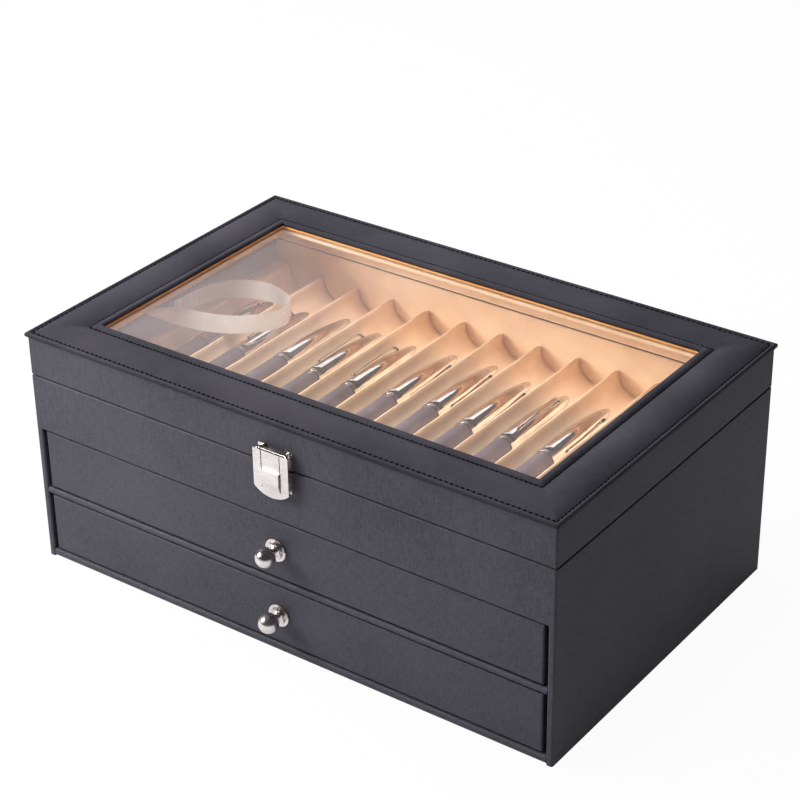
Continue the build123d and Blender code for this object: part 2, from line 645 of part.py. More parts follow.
make_case()
make_tray("pen_tray", inner_x - tray_end_gap, top_land_rise, -inner_y + tray_end_gap,
          inner_y - lining_thickness - tray_end_gap, tray_z)
make_pens()
make_ribbon()
make_lid()
make_cover()
make_hinges()
make_latch()
make_drawer("upper_drawer", upper_opening_z)
make_drawer("lower_drawer", lower_opening_z)
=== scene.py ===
import math

import bmesh
import bpy
from mathutils import Matrix, Vector


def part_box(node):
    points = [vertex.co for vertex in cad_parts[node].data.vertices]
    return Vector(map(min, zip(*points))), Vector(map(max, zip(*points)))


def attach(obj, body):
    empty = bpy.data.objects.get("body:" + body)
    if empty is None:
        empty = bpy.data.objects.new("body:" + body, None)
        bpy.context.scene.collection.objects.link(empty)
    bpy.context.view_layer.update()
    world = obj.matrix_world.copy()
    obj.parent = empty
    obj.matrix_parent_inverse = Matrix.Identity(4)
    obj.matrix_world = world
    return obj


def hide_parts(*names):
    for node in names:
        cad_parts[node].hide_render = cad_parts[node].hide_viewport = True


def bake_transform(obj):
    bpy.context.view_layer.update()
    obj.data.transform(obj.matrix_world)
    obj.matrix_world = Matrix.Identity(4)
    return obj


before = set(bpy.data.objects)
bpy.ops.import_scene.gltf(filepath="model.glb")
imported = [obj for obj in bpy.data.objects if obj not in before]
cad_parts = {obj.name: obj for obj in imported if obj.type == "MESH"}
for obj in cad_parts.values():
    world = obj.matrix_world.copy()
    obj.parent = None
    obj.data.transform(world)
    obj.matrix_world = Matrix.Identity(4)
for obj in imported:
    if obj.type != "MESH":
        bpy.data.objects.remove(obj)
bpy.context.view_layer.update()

MM = 0.001


# ---------------------------------------------------------------- colours, as they are seen in plain light
def srgb(red, green, blue):
    """A colour written as 0-255 screen values, as the linear colour that shaders take."""
    def linear(value):
        value /= 255
        return value / 12.92 if value <= 0.04045 else ((value + 0.055) / 1.055) ** 2.4
    return (linear(red), linear(green), linear(blue), 1.0)


LEATHER = srgb(67, 65, 73)
LEATHER_DARK = srgb(49, 47, 54)
# The padded cover's leatherette is the case's, written darker: painted shade on the lid's top frame
COVER_PAINTED_SHADE = srgb(46, 44, 51)
COVER_PAINTED_SHADE_DARK = srgb(33, 32, 38)
THREAD = srgb(9, 9, 11)
VELVET = srgb(241, 211, 175)
VELVET_SHADE = srgb(227, 192, 155)
AMBER = srgb(250, 192, 126)
AMBER_DEEP = srgb(236, 168, 98)
BOARD = srgb(48, 46, 51)
NICKEL = srgb(226, 219, 216)
NICKEL_SHADE = srgb(204, 196, 192)
CHROME = srgb(230, 228, 226)
CHROME_SHADE = srgb(204, 200, 198)
LACQUER = srgb(82, 73, 80)
LACQUER_SHEEN = srgb(100, 90, 96)
SATIN = srgb(243, 238, 228)
SATIN_SHADE = srgb(222, 214, 200)
# Colours of the pane's pale veil: a painted reflection of the bright room
PANE_REFLECTION = srgb(236, 216, 212)
PANE_REFLECTION_COOL = srgb(226, 212, 218)


# ---------------------------------------------------------------- material helpers
class Finish:
    """A node material with one Principled shader and short calls for what feeds it."""

    def __init__(self, name, roughness, metallic=0.0, specular=0.5):
        self.material = bpy.data.materials.new(name)
        self.material.use_nodes = True
        self.nodes = self.material.node_tree.nodes
        self.links = self.material.node_tree.links
        self.shader = self.nodes["Principled BSDF"]
        self.shader.inputs["Roughness"].default_value = roughness
        self.shader.inputs["Metallic"].default_value = metallic
        self.shader.inputs["Specular IOR Level"].default_value = specular
        self.place = self.nodes.new("ShaderNodeTexCoord").outputs["Object"]

    def stretched(self, scale):
        """Object coordinates, scaled along each axis."""
        mapping = self.nodes.new("ShaderNodeMapping")
        mapping.inputs["Scale"].default_value = scale
        self.links.new(self.place, mapping.inputs["Vector"])
        return mapping.outputs["Vector"]

    def noise(self, scale, detail=3.0, rough=0.55, where=None):
        node = self.nodes.new("ShaderNodeTexNoise")
        node.inputs["Scale"].default_value = scale
        node.inputs["Detail"].default_value = detail
        node.inputs["Roughness"].default_value = rough
        self.links.new(where or self.place, node.inputs["Vector"])
        return node.outputs["Fac"]

    def cells(self, scale, where=None):
        node = self.nodes.new("ShaderNodeTexVoronoi")
        node.inputs["Scale"].default_value = scale
        self.links.new(where or self.place, node.inputs["Vector"])
        return node.outputs["Distance"]

    def waves(self, scale, direction, distortion=0.0, where=None):
        node = self.nodes.new("ShaderNodeTexWave")
        node.bands_direction = direction
        node.inputs["Scale"].default_value = scale
        node.inputs["Distortion"].default_value = distortion
        self.links.new(where or self.place, node.inputs["Vector"])
        return node.outputs["Fac"]

    def span(self, value, low, high, out_low, out_high):
        """A value from low to high, spread over another range."""
        node = self.nodes.new("ShaderNodeMapRange")
        for name, number in zip(("From Min", "From Max", "To Min", "To Max"), (low, high, out_low, out_high)):
            node.inputs[name].default_value = number
        self.links.new(value, node.inputs["Value"])
        return node.outputs["Result"]

    def joined(self, operation, first, second):
        node = self.nodes.new("ShaderNodeMath")
        node.operation = operation
        for socket, value in zip(node.inputs, (first, second)):
            if isinstance(value, float):
                socket.default_value = value
            else:
                self.links.new(value, socket)
        return node.outputs["Value"]

    def mixed(self, first, first_share, second, second_share):
        """Sum of two values, each times its share."""
        return self.joined("ADD", self.joined("MULTIPLY", first, first_share),
                           self.joined("MULTIPLY", second, second_share))

    def colour(self, value, *stops):
        """Base colour from a value, through (place, colour) stops."""
        ramp = self.nodes.new("ShaderNodeValToRGB")
        elements = ramp.color_ramp.elements
        for index, (place, tint) in enumerate(stops):
            element = elements[index] if index < 2 else elements.new(place)
            element.position = place
            element.color = tint
        self.links.new(value, ramp.inputs["Fac"])
        self.links.new(ramp.outputs["Color"], self.shader.inputs["Base Color"])

    def rough(self, value, low, high):
        self.links.new(self.span(value, 0.3, 0.7, low, high), self.shader.inputs["Roughness"])

    def bump(self, value, strength, distance):
        node = self.nodes.new("ShaderNodeBump")
        node.inputs["Strength"].default_value = strength
        node.inputs["Distance"].default_value = distance
        self.links.new(value, node.inputs["Height"])
        self.links.new(node.outputs["Normal"], self.shader.inputs["Normal"])


def leather(name, light, dark, grain, crease, weave, gloss):
    """Fine-grained wrapped leatherette, pressed with a fine linen hatch that runs both ways."""
    finish = Finish(name, 0.55, specular=gloss)
    lengthways = finish.noise(1.0, 2.0, 0.5, finish.stretched((260, 260, 1500)))
    upright = finish.noise(1.0, 2.0, 0.5, finish.stretched((1300, 1300, 240)))
    hatch = finish.mixed(lengthways, 0.5, upright, 0.5)
    cloud = finish.noise(14.0, 3.0)
    tone = finish.mixed(hatch, weave, cloud, 1 - weave)
    finish.colour(tone, (0.38, dark), (0.6, light))
    pebble = finish.cells(grain)
    fibres = finish.noise(grain * 1.7, 2.0)
    wrinkles = finish.noise(110.0, 2.0, 0.5)
    height = finish.mixed(pebble, 0.6, hatch, 1.6 * weave)
    height = finish.joined("ADD", height, finish.joined("MULTIPLY", wrinkles, crease))
    finish.bump(height, 0.35, 0.00025)
    finish.rough(fibres, 0.5, 0.66)
    return finish.material


def velvet(name, light, shade):
    """Short-pile flock: cloudy where it was brushed, with a soft sheen."""
    finish = Finish(name, 0.9, specular=0.12)
    brushed = finish.noise(38.0, 3.0, 0.6)
    nap = finish.noise(1800.0, 2.0)
    tone = finish.mixed(brushed, 0.7, nap, 0.3)
    finish.colour(tone, (0.35, shade), (0.62, light))
    finish.bump(nap, 0.3, 0.0002)
    finish.shader.inputs["Sheen Weight"].default_value = 0.25
    finish.shader.inputs["Sheen Roughness"].default_value = 0.45
    finish.shader.inputs["Sheen Tint"].default_value = light
    return finish.material


def metal(name, light, shade, low, high, scratch):
    """Plated metal with a faint brushed drift and handling smudges."""
    finish = Finish(name, low, metallic=1.0)
    drift = finish.noise(1.0, 3.0, 0.6, finish.stretched((scratch, 90, 90)))
    smudge = finish.noise(160.0, 2.0)
    finish.colour(drift, (0.3, shade), (0.66, light))
    finish.rough(smudge, low, high)
    finish.bump(drift, 0.06, 0.0001)
    return finish.material


def lacquer(name):
    """Matt black pen lacquer, a little cloudy."""
    finish = Finish(name, 0.45, specular=0.4)
    cloud = finish.noise(60.0, 3.0)
    finish.colour(cloud, (0.35, LACQUER), (0.7, LACQUER_SHEEN))
    finish.rough(finish.noise(240.0), 0.4, 0.55)
    finish.bump(finish.noise(2600.0, 2.0), 0.12, 0.0001)
    return finish.material


def satin(name):
    """Woven satin ribbon: fine ribs across it and a silky sheen."""
    finish = Finish(name, 0.42, specular=0.35)
    ribs = finish.waves(900.0, "X", 0.6)
    cloud = finish.noise(90.0, 2.0)
    tone = finish.mixed(ribs, 0.4, cloud, 0.6)
    finish.colour(tone, (0.3, SATIN_SHADE), (0.65, SATIN))
    finish.bump(ribs, 0.2, 0.0001)
    finish.rough(cloud, 0.34, 0.5)
    finish.shader.inputs["Sheen Weight"].default_value = 0.3
    return finish.material


def thread(name):
    """Waxed sewing thread, with its twist."""
    finish = Finish(name, 0.6, specular=0.12)
    twist = finish.noise(1.0, 2.0, 0.5, finish.stretched((2600, 2600, 900)))
    finish.colour(twist, (0.3, srgb(5, 5, 6)), (0.7, THREAD))
    finish.bump(twist, 0.4, 0.0001)
    return finish.material


def board(name):
    """Matt paper wrap over grey board."""
    finish = Finish(name, 0.8, specular=0.25)
    fibres = finish.noise(420.0, 4.0, 0.65)
    finish.colour(fibres, (0.3, srgb(38, 36, 41)), (0.7, BOARD))
    finish.bump(fibres, 0.25, 0.0002)
    return finish.material


def pane(name):
    """Clear pane under a pale veil that is a painted reflection of the bright room, thicker to its left."""
    finish = Finish(name, 0.12, specular=0.25)
    drift = finish.noise(7.0, 2.0)
    finish.colour(drift, (0.35, PANE_REFLECTION), (0.65, PANE_REFLECTION_COOL))
    apart = finish.nodes.new("ShaderNodeSeparateXYZ")
    finish.links.new(finish.place, apart.inputs["Vector"])
    # Painted reflection: the veil's strength, stronger to the left of the pane
    painted_reflection = finish.joined("MULTIPLY", finish.span(drift, 0.3, 0.7, 0.8, 1.2),
                         finish.span(apart.outputs["X"], -0.14, 0.0, 0.095, 0.03))
    finish.links.new(painted_reflection, finish.shader.inputs["Alpha"])
    finish.material.surface_render_method = "BLENDED"
    return finish.material


def amber(name):
    """The window's edge strip, flocked in a deeper tone."""
    finish = Finish(name, 0.6, specular=0.3)
    drift = finish.noise(30.0, 3.0)
    finish.colour(drift, (0.35, AMBER_DEEP), (0.65, AMBER))
    finish.bump(finish.noise(1500.0, 2.0), 0.2, 0.0002)
    return finish.material


case_leather = leather("case_leather", LEATHER, LEATHER_DARK, 1500.0, 0.25, 0.7, 0.3)
# Its colours, darker than the case leather, are painted shade
cover_leather = leather("cover_leather", COVER_PAINTED_SHADE, COVER_PAINTED_SHADE_DARK, 1300.0, 0.9, 0.35, 0.14)
velvet_finish = velvet("velvet", VELVET, VELVET_SHADE)
thread_finish = thread("thread")
nickel = metal("nickel", NICKEL, NICKEL_SHADE, 0.2, 0.34, 40)
chrome = metal("chrome", CHROME, CHROME_SHADE, 0.04, 0.1, 25)
hinge_steel = metal("hinge_steel", srgb(196, 192, 184), srgb(168, 163, 155), 0.28, 0.42, 700)
screw_steel = metal("screw_steel", srgb(138, 134, 128), srgb(104, 100, 95), 0.18, 0.3, 300)
lacquer_finish = lacquer("pen_lacquer")
satin_finish = satin("satin_ribbon")
board_finish = board("drawer_board")
glass_finish = pane("window_pane")
amber_finish = amber("window_edge")

DRAWERS = ("upper_drawer", "lower_drawer")
NODE_FINISHES = [
    (case_leather, ["bottom_board", "left_wall", "right_wall", "back_wall", "front_fascia", "middle_shelf",
                    "lid_front_wall", "lid_back_wall", "lid_left_wall", "lid_right_wall"]),
    (case_leather, [f"{drawer}_front" for drawer in DRAWERS]),
    (velvet_finish, ["case_back_lining", "lid_lining", "glass_retainer"]),
    (amber_finish, ["window_trim"]),
    (glass_finish, ["window_glass"]),
    (board_finish, ["tray_shelf", "lid_frame_board"]),
    (board_finish, [f"{drawer}_{part}" for drawer in DRAWERS
                    for part in ("left_side", "right_side", "back", "bottom")]),
    (nickel, ["catch_plate", "catch_screws", "latch_lid_plate", "latch_lid_screws", "latch_pin",
              "latch_hasp"]),
    (nickel, [f"{drawer}_{part}" for drawer in DRAWERS for part in ("knob", "rosette", "knob_screw")]),
    (hinge_steel, ["hinge_case_leaves", "hinge_lid_leaves"]),
    (screw_steel, ["hinge_case_screws", "hinge_lid_screws", "hinge_pins"]),
]


def dress_nodes():
    """Give each kept CAD piece its finish."""
    for finish, names in NODE_FINISHES:
        for name in names:
            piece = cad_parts[name]
            for place in piece.material_slots:
                place.material = finish


# ---------------------------------------------------------------- mesh helpers
def piece_from(name, points, faces, finish, smooth=True):
    """A mesh object from points in metres."""
    mesh = bpy.data.meshes.new(name)
    mesh.from_pydata([tuple(point) for point in points], [], faces)
    mesh.validate()
    maker = bmesh.new()
    maker.from_mesh(mesh)
    bmesh.ops.recalc_face_normals(maker, faces=maker.faces)
    for face in maker.faces:
        face.smooth = smooth
    maker.to_mesh(mesh)
    maker.free()
    mesh.materials.append(finish)
    piece = bpy.data.objects.new(name, mesh)
    bpy.context.scene.collection.objects.link(piece)
    return piece


class Builder:
    """Collects the points and faces of one piece."""

    def __init__(self):
        self.points = []
        self.faces = []

    def strip(self, rows, close_rows=False, close_columns=False):
        """Quads between rows of points; every row is as long as the first."""
        start = len(self.points)
        width = len(rows[0])
        for row in rows:
            self.points.extend(row)
        row_count = len(rows) if close_rows else len(rows) - 1
        column_count = width if close_columns else width - 1
        for row in range(row_count):
            for column in range(column_count):
                a = start + row * width + column
                b = start + row * width + (column + 1) % width
                c = start + (row + 1) % len(rows) * width + (column + 1) % width
                d = start + (row + 1) % len(rows) * width + column
                self.faces.append((a, b, c, d))
        return start

    def tube(self, rings):
        """A closed tube through rings of points, capped at both ends."""
        start = self.strip(rings, close_columns=True)
        width = len(rings[0])
        last = start + (len(rings) - 1) * width
        self.faces.append(tuple(range(start, start + width)))
        self.faces.append(tuple(range(last, last + width)))

    def turned(self, profile, place, sides):
        """A body turned about the place's Y axis from (radius, y) points, pointed or flat at its ends."""
        rings = []
        for radius, y in profile:
            radius = max(radius, 0.02 * MM)
            ring = []
            for side in range(sides):
                angle = 2 * math.pi * side / sides
                ring.append(place @ Vector((radius * math.cos(angle), y, radius * math.sin(angle))))
            rings.append(ring)
        self.tube(rings)

    def make(self, name, finish, smooth=True):
        return piece_from(name, self.points, self.faces, finish, smooth)


def ease(value):
    """Smooth step from 0 to 1."""
    value = min(max(value, 0.0), 1.0)
    return value * value * (3 - 2 * value)


# ---------------------------------------------------------------- padded cover and its stitching
cover_low, cover_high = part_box("lid_padded_cover")
cover_x = cover_high.x
cover_y = cover_high.y
cover_z = cover_low.z
_, trim_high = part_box("window_trim")
TRIM_FLANGE = 6 * MM
TRIM_WALL = 1 * MM
cover_width = cover_x - (trim_high.x - TRIM_FLANGE + TRIM_WALL)
OUTER_STITCH = 2.9 * MM
INNER_STITCH = 3.6 * MM
EDGE_RISE = 2.4 * MM
EDGE_ROUND = 1.1 * MM
VALLEY_RISE = 1.5 * MM
CROWN_RISE = 2.2 * MM
LIP_RISE = 1.4 * MM
LIP_REACH = 1.5 * MM          # how far the rolled lip hangs over the window's edge strip
LIP_UNDERSIDE = 1.9 * MM      # its lower face above that strip's upper edge
LIP_HANG = 0.9 * MM           # its lowest point, in front of that strip
LEAST_RISE = 0.2 * MM
COVER_SPACING = 2.2 * MM      # of the mesh, along the frame
WAVE_HEIGHT = 0.10 * MM       # unevenness of the crown
PINCH_HEIGHT = 0.10 * MM      # how far each stitch draws the leather down, and how far round it
PINCH_REACH = 0.9 * MM
CREASE_DEPTH = 0.35 * MM      # at the mitred corners
CREASE_REACH = 9 * MM
STITCH_PITCH = 3.3 * MM
STITCH_LENGTH = 2.3 * MM
STITCH_RADIUS = 0.46 * MM
STITCH_LIFT = 0.38 * MM       # its middle above the valley, and how far its ends dip
STITCH_DIP = 0.35 * MM
STITCH_SLANT = 0.12 * MM


def cover_height(inset):
    """Height of the leather above its board, at a distance from the outer edge."""
    inner_valley = cover_width - INNER_STITCH
    if inset < EDGE_ROUND:
        return EDGE_RISE - EDGE_ROUND + math.sqrt(EDGE_ROUND ** 2 - (EDGE_ROUND - inset) ** 2)
    if inset < OUTER_STITCH:
        share = (inset - EDGE_ROUND) / (OUTER_STITCH - EDGE_ROUND)
        return EDGE_RISE - (EDGE_RISE - VALLEY_RISE) * ease(share)
    if inset < inner_valley:
        share = (inset - OUTER_STITCH) / (inner_valley - OUTER_STITCH)
        return VALLEY_RISE + CROWN_RISE * math.sin(math.pi * share) ** 0.75
    share = (inset - inner_valley) / INNER_STITCH
    return VALLEY_RISE + LIP_RISE * math.sin(math.pi / 2 * min(share / 0.7, 1.0)) ** 0.8


def cover_insets():
    """Places across the cover, closer together at the stitch lines and edges."""
    inner_valley = cover_width - INNER_STITCH
    spans = [(0, OUTER_STITCH, 9), (OUTER_STITCH, inner_valley, 18), (inner_valley, cover_width, 9)]
    places = []
    for low, high, count in spans:
        for index in range(count):
            share = (1 - math.cos(math.pi * index / count)) / 2
            places.append(low + (high - low) * share)
    return places + [cover_width]


def ring_places(inset, spacing):
    """Points round the frame at one inset: (x, y, along_x, along_y, to_corner)."""
    corners = [(-1, -1), (1, -1), (1, 1), (-1, 1)]
    places = []
    for index, start in enumerate(corners):
        end = corners[(index + 1) % 4]
        a = Vector((start[0] * (cover_x - inset), start[1] * (cover_y - inset)))
        b = Vector((end[0] * (cover_x - inset), end[1] * (cover_y - inset)))
        full = 2 * (cover_x if start[1] == end[1] else cover_y)
        count = round(full / spacing)
        for step in range(count):
            at = a.lerp(b, step / count)
            along = (b - a).normalized()
            to_corner = min(step, count - step) / count * full
            places.append((at.x, at.y, along.x, along.y, to_corner))
    return places


def leather_wave(x, y):
    """Slow unevenness of hand-wrapped leather."""
    return math.sin(x * 61 + 1.3) * math.sin(y * 83 + 0.4) + 0.6 * math.sin(x * 149 - y * 97)


def make_cover():
    """The padded leather frame, from its outer foot over the crown to the lip round the window."""
    rows = []
    for inset in cover_insets():
        row = []
        for x, y, along_x, along_y, to_corner in ring_places(inset, COVER_SPACING):
            rise = cover_height(inset)
            middle = math.sin(math.pi * inset / cover_width)
            rise += WAVE_HEIGHT * leather_wave(x, y) * middle
            pinch = math.cos(2 * math.pi * (x * abs(along_x) + y * abs(along_y)) / STITCH_PITCH)
            near_stitch = math.exp(-((inset - OUTER_STITCH) / PINCH_REACH) ** 2)
            near_stitch += math.exp(-((inset - cover_width + INNER_STITCH) / PINCH_REACH) ** 2)
            rise += PINCH_HEIGHT * pinch * near_stitch
            crease = math.exp(-(to_corner / CREASE_REACH) ** 2) * middle
            rise -= CREASE_DEPTH * crease * (0.6 + 0.4 * math.cos(inset / MM * 1.9))
            row.append(Vector((x, y, cover_z + max(rise, LEAST_RISE))))
        rows.append(row)
    outer_foot = [Vector((point.x, point.y, cover_z)) for point in rows[0]]
    lip_top = VALLEY_RISE + LIP_RISE
    lip = []
    lip_steps = 7
    for step in range(1, lip_steps + 1):
        angle = math.pi / 2 * step / lip_steps
        lip.append((cover_width + LIP_REACH * math.sin(angle),
                    LIP_HANG + (lip_top - LIP_HANG) * math.cos(angle) ** 0.6))
    lip += [(cover_width + TRIM_WALL + 0.2 * MM, LIP_HANG + 0.15 * MM),
            (cover_width + TRIM_WALL + 0.1 * MM, LIP_UNDERSIDE),
            (cover_width, LIP_UNDERSIDE), (cover_width, 0.0)]
    for inset, rise in lip:
        places = ring_places(inset, COVER_SPACING)
        rows.append([Vector((x, y, cover_z + rise)) for x, y, _, _, _ in places])
    builder = Builder()
    builder.strip([outer_foot] + rows, close_rows=True, close_columns=True)
    cover = builder.make("padded_cover", cover_leather)
    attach(cover, "lid")
    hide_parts("lid_padded_cover")


def make_stitches(name, inset):
    """One row of thread round the cover, each stitch dipping into the leather at its ends."""
    builder = Builder()
    sides = 6
    stations = 5
    for x, y, along_x, along_y, _ in ring_places(inset, STITCH_PITCH):
        along = Vector((along_x, along_y, 0))
        across = Vector((-along_y, along_x, 0))
        middle = Vector((x, y, 0)) + along * STITCH_PITCH / 2
        rings = []
        for station in range(stations):
            share = station / (stations - 1) * 2 - 1
            swell = math.sqrt(max(0.06, 1 - share ** 4))
            lift = VALLEY_RISE + STITCH_LIFT - STITCH_DIP * share ** 4
            centre = middle + along * share * STITCH_LENGTH / 2 + across * STITCH_SLANT * share
            ring = []
            for side in range(sides):
                angle = 2 * math.pi * side / sides
                reach = STITCH_RADIUS * swell
                point = centre + across * reach * math.cos(angle)
                point.z = cover_z + lift + reach * math.sin(angle)
                ring.append(point)
            rings.append(ring)
        builder.tube(rings)
    row = builder.make(name, thread_finish)
    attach(row, "lid")


# ---------------------------------------------------------------- scalloped trays
SLOT_COUNT = 12
SLOT_PITCH = 26 * MM
SLOT_RADIUS = 12.4 * MM
SLOT_PAD = 1.0 * MM
CREST_HEIGHT = 16.5 * MM
CREST_PEAK = 0.15 * MM        # middle of a crest above that height, its edges' drop, and half its width
CREST_DROP = 0.35 * MM
CREST_HALF = 0.12 * MM
ARC_STEPS = 14
LAND_CORNER = 1.4 * MM        # where the flat ends beside the outer slots start to round off
LAND_EDGE = 0.5 * MM
LAND_DROP = 0.25 * MM
BACK_DIP = 1.6 * MM           # how far the crests are drawn down at the tray's back and front
FRONT_DIP = 0.8 * MM
DIP_REACH = 5 * MM
END_WIDTH = 3 * MM            # of the tray's ends, which stay straight


def slot_centres():
    return [(index - (SLOT_COUNT - 1) / 2) * SLOT_PITCH for index in range(SLOT_COUNT)]


def tray_section(half_width, land_height):
    """Points (x, height) across a tray, from its left end to its right one."""
    points = [(-half_width, land_height)]
    first_edge = slot_centres()[0] - SLOT_RADIUS
    points.append((first_edge - LAND_CORNER, land_height))
    points.append((first_edge - LAND_EDGE, land_height - LAND_DROP))
    for centre in slot_centres():
        low_side = CREST_HEIGHT - CREST_DROP
        points.append((centre - SLOT_RADIUS - CREST_HALF, low_side))
        for step in range(ARC_STEPS + 1):
            angle = math.pi * (1 - step / ARC_STEPS)
            height = SLOT_PAD + SLOT_RADIUS * (1 - math.sin(angle))
            points.append((centre + SLOT_RADIUS * math.cos(angle), height))
        points.append((centre + SLOT_RADIUS + CREST_HALF, low_side))
        points.append((centre + SLOT_PITCH / 2, CREST_HEIGHT + CREST_PEAK))
    points.pop()
    last_edge = slot_centres()[-1] + SLOT_RADIUS
    points.append((last_edge + LAND_EDGE, land_height - LAND_DROP))
    points.append((last_edge + LAND_CORNER, land_height))
    points.append((half_width, land_height))
    return points


def make_tray(node, body, spacing):
    """Velvet over padded ridges, its crests drawn down a little where they meet the end walls."""
    low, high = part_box(node)
    half_width = high.x
    land_height = high.z - low.z if high.z - low.z > CREST_HEIGHT + 1 * MM else CREST_HEIGHT
    section = tray_section(half_width, land_height)
    row_count = round((high.y - low.y) / spacing)
    rows = []
    for index in range(row_count + 1):
        y = low.y + (high.y - low.y) * index / row_count
        from_back = high.y - y
        from_front = y - low.y
        dip = BACK_DIP * (1 - ease(from_back / DIP_REACH)) + FRONT_DIP * (1 - ease(from_front / DIP_REACH))
        row = []
        for x, height in section:
            crest = ease((height / MM - 9) / 7) if abs(x) < half_width - END_WIDTH else 0.0
            wobble = 0.16 * MM * math.sin(y * 70 + x * 41) + 0.10 * MM * math.sin(y * 190 + x * 23)
            row.append(Vector((x + wobble * crest, y, low.z + height - dip * crest)))
        rows.append(row)
    builder = Builder()
    for row in rows:
        row.insert(0, Vector((-half_width, row[0].y, low.z)))
        row.append(Vector((half_width, row[1].y, low.z)))
    builder.strip(rows)
    width = len(rows[0])
    last = (len(rows) - 1) * width
    builder.faces.append(tuple(range(width)))
    builder.faces.append(tuple(range(last, last + width)))
    left = [index * width for index in range(len(rows))]
    right = [index * width + width - 1 for index in range(len(rows))]
    for index in range(len(rows) - 1):
        builder.faces.append((left[index], right[index], right[index + 1], left[index + 1]))
    tray = builder.make(f"{node}_velvet", velvet_finish)
    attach(tray, body)
    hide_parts(node)


# ---------------------------------------------------------------- pens
PEN_SIDES = 40
CAP_RADIUS = 6.5 * MM
CAP_LENGTH = 65 * MM
CAP_STRAIGHT = 26 * MM
BARREL_RADIUS = 6.1 * MM
BARREL_LENGTH = 72 * MM
TAIL_RADIUS = 4.6 * MM
TAIL_LENGTH = 30 * MM
COLLAR_DEPTH = 0.5 * MM       # of the narrower collar between barrel and ring
RING_HALF = 1.1 * MM          # half the ring's length
CLIP_ROOT = CAP_LENGTH - 14 * MM
CLIP_MOUTH = 11.1 * MM        # the clip's free end, from the cap's mouth
MOUTH_Y = 7.5 * MM
# Each pen's place along its slot, in millimetres, and the turn of its clip, in degrees
PEN_SHIFTS = [-4.0, -2.5, 4.0, 0.0, -1.5, 2.5, 5.0, -0.5, -1.5, -1.0, 2.0, -2.0]
CLIP_TURNS = [0, -20, -100, -50, -50, 80, 75, 85, 15, 75, 20, -40]


def cap_radius(y):
    """Radius of the cap at a distance from its mouth: straight, then an ogive with a rounded tip."""
    if y <= CAP_STRAIGHT:
        return CAP_RADIUS
    share = (y - CAP_STRAIGHT) / (CAP_LENGTH - CAP_STRAIGHT)
    return CAP_RADIUS * (1 - 0.6 * share ** 1.7) * math.sqrt(max(0.0, 1 - share ** 12))


def pen_places():
    rings_low, rings_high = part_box("pen_cap_rings")
    axis_z = (rings_low.z + rings_high.z) / 2
    return [Matrix.Translation((x, MOUTH_Y + shift * MM, axis_z))
            for x, shift in zip(slot_centres(), PEN_SHIFTS)]


def cap_profile():
    profile = [(0.0, RING_HALF), (CAP_RADIUS, RING_HALF)]
    steps = 26
    for step in range(1, steps + 1):
        share = math.sin(math.pi / 2 * step / steps)
        y = RING_HALF + (CAP_LENGTH - RING_HALF) * share
        profile.append((cap_radius(y), y))
    return profile


def ring_profile():
    """Two beads side by side with a groove between them."""
    profile = [(0.0, -RING_HALF)]
    for middle in (-0.6 * MM, 0.6 * MM):
        for step in range(7):
            angle = math.pi * step / 6
            profile.append((CAP_RADIUS - 0.1 * MM + 0.2 * MM * math.sin(angle),
                            middle - 0.5 * MM * math.cos(angle)))
    profile.append((0.0, RING_HALF))
    return profile


def barrel_profile():
    """Barrel with a rounded tail and a narrow collar under the ring."""
    collar_radius = BARREL_RADIUS - COLLAR_DEPTH
    profile = [(0.0, -RING_HALF), (collar_radius, -RING_HALF), (collar_radius, -1.9 * MM),
               (BARREL_RADIUS, -2.3 * MM)]
    steps = 12
    tail_start = BARREL_LENGTH - TAIL_LENGTH
    for step in range(steps + 1):
        share = step / steps
        y = -(tail_start + (BARREL_LENGTH - tail_start) * math.sin(math.pi / 2 * share))
        radius = BARREL_RADIUS + (TAIL_RADIUS - BARREL_RADIUS) * ease(share)
        profile.append((radius * math.sqrt(max(0.0, 1 - share ** 14)), y))
    return profile


def clip_stations():
    """Middle line of a clip: (y, height above the axis, half width in mm, half thickness in mm)."""
    stations = [(CLIP_ROOT + 1.2 * MM, cap_radius(CLIP_ROOT) - 0.6 * MM, 1.3, 0.5),
                (CLIP_ROOT + 0.4 * MM, 6.4 * MM, 1.45, 0.5),
                (CLIP_ROOT - 1.4 * MM, 7.6 * MM, 1.5, 0.42)]
    steps = 10
    for step in range(1, steps + 1):
        share = step / steps
        y = CLIP_ROOT - 1.4 * MM - (CLIP_ROOT - 1.4 * MM - CLIP_MOUTH - 3 * MM) * share
        stations.append((y, (7.75 - 0.35 * share) * MM, 1.5 - 0.45 * share, 0.38))
    stations += [(CLIP_MOUTH + 2.0 * MM, 7.15 * MM, 1.2, 0.55), (CLIP_MOUTH + 1.0 * MM, 7.1 * MM, 1.25, 0.6),
                 (CLIP_MOUTH, 7.5 * MM, 0.8, 0.4)]
    return stations


def make_clip(builder, place):
    sides = 10
    rings = []
    for y, height, half_width, half_thickness in clip_stations():
        ring = []
        for side in range(sides):
            angle = 2 * math.pi * side / sides
            x = half_width * MM * math.cos(angle)
            z = height + half_thickness * MM * math.sin(angle)
            ring.append(place @ Vector((x, y, z)))
        rings.append(ring)
    builder.tube(rings)


